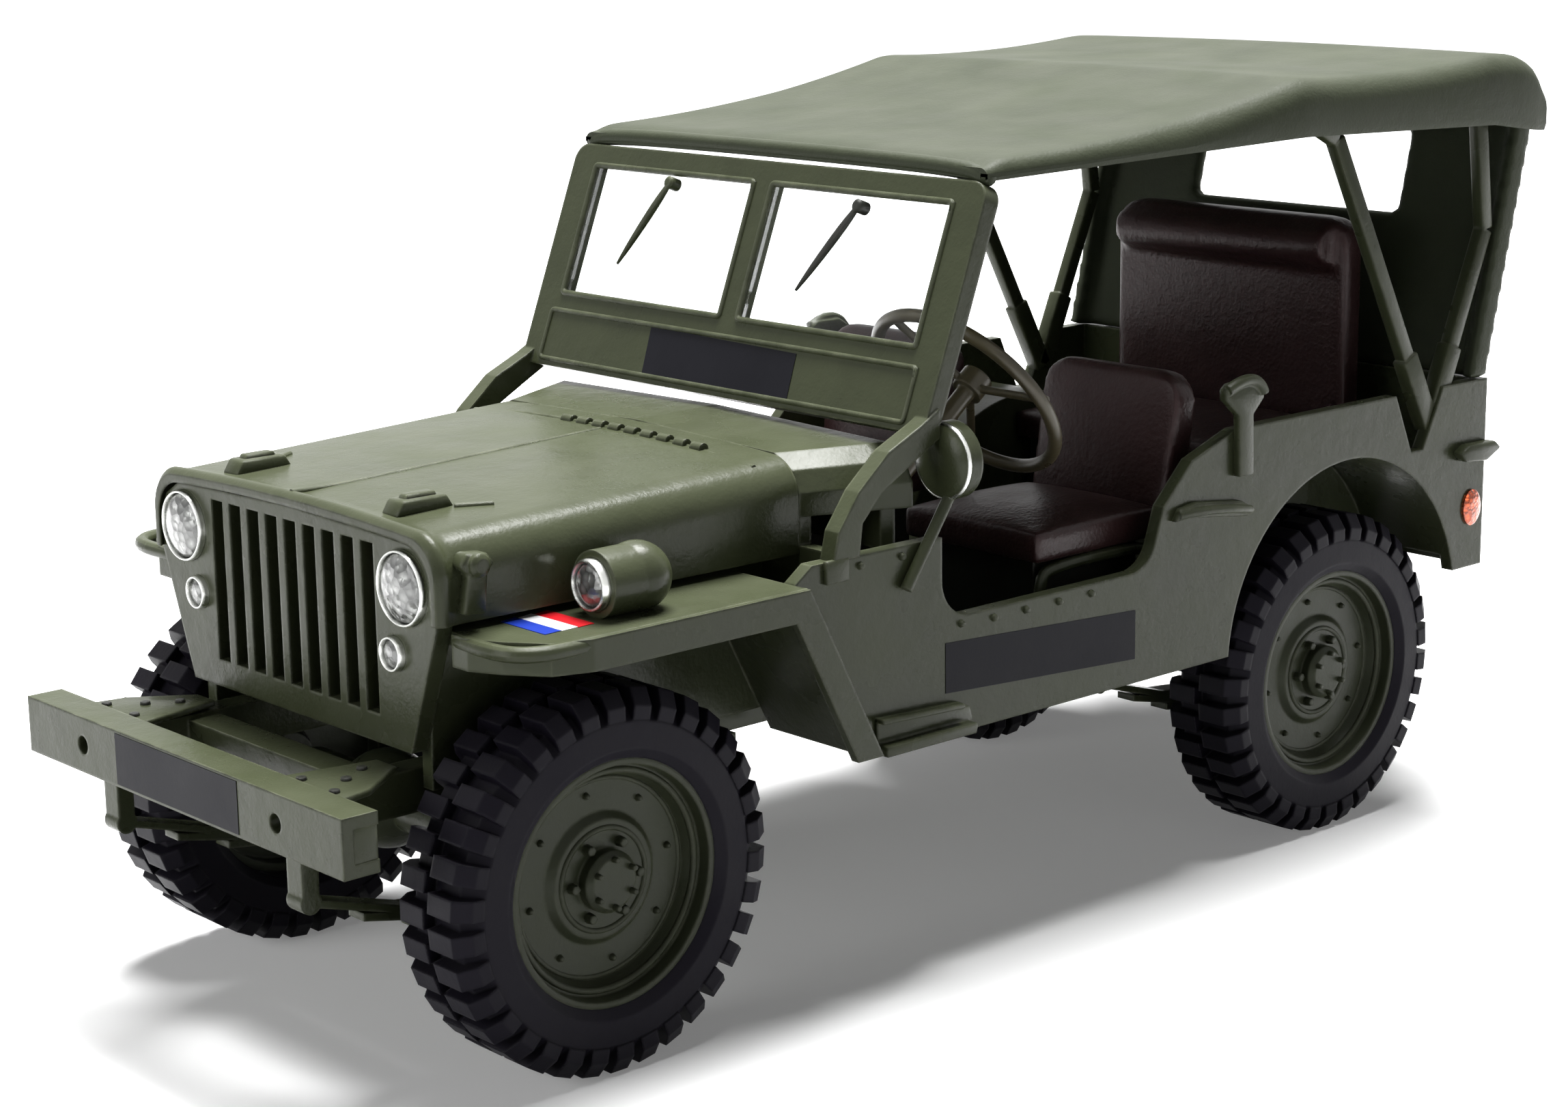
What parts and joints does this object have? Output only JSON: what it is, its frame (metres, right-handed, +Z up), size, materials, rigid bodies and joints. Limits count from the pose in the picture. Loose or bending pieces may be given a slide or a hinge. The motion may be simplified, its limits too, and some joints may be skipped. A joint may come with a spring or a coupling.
{
  "type": "model of an open army car",
  "caption": "Collector's scale model of an open army car with its canvas top up, spare wheel and fuel can at the tail. Its wheels roll on steel axle pins; all else is fixed.",
  "frame": {"origin": "on the ground, under the middle of the model's box", "axes": "+X to the car's front, +Y to the car's left, +Z up"},
  "size_m": [0.077, 0.0316, 0.0395],
  "materials": {
    "olive": "satin olive green paint",
    "dark_olive": "moulded dark olive plastic",
    "canvas": "matt olive, moulded as canvas",
    "seat": "matt brown",
    "tyre": "soft black",
    "steel": "plain",
    "clear": "clear moulded plastic",
    "black": "matt black"
  },
  "bodies": {
    "body": {"tub": "olive", "hood": "olive", "grille": "olive", "fender_left": "olive", "fender_right": "olive", "front_bumper": "olive", "chassis_frame": "olive", "front_axle_housing": "olive", "rear_axle_housing": "olive", "front_spring_left": "olive", "front_spring_right": "olive", "rear_spring_left": "olive", "rear_spring_right": "olive", "windscreen_frame": "olive", "bow_left": "olive", "bow_right": "olive", "mirror": "olive", "fender_lamp": "olive", "dashboard": "olive", "driver_seat_base": "olive", "passenger_seat_base": "olive", "bench_base": "olive", "fuel_can": "olive", "fuel_can_rack": "olive", "spare_carrier": "olive", "spare_rim": "olive", "steering_wheel": "dark_olive", "canvas_roof": "canvas", "canvas_curtain": "canvas", "driver_seat_cushion": "seat", "driver_seat_back": "seat", "passenger_seat_cushion": "seat", "passenger_seat_back": "seat", "bench_cushion": "seat", "bench_back": "seat", "spare_tyre": "tyre", "windscreen_pane_left": "clear", "windscreen_pane_right": "clear", "headlamp_left": "clear", "headlamp_right": "clear", "marker_lamp_left": "clear", "marker_lamp_right": "clear", "fender_lamp_lens": "clear", "radiator": "black"},
    "front_wheels": {"front_axle_pin": "steel", "front_rim_left": "olive", "front_rim_right": "olive", "front_tyre_left": "tyre", "front_tyre_right": "tyre"},
    "rear_wheels": {"rear_axle_pin": "steel", "rear_rim_left": "olive", "rear_rim_right": "olive", "rear_tyre_left": "tyre", "rear_tyre_right": "tyre"}
  },
  "joints": [
    {"name": "front_wheels_roll", "type": "hinge", "parent": "body", "child": "front_wheels", "pos_m": [0.02588, 0, 0.00833], "axis": [0, 1, 0], "continuous": true},
    {"name": "rear_wheels_roll", "type": "hinge", "parent": "body", "child": "rear_wheels", "pos_m": [-0.02138, 0, 0.00833], "axis": [0, 1, 0], "continuous": true}
  ]
}
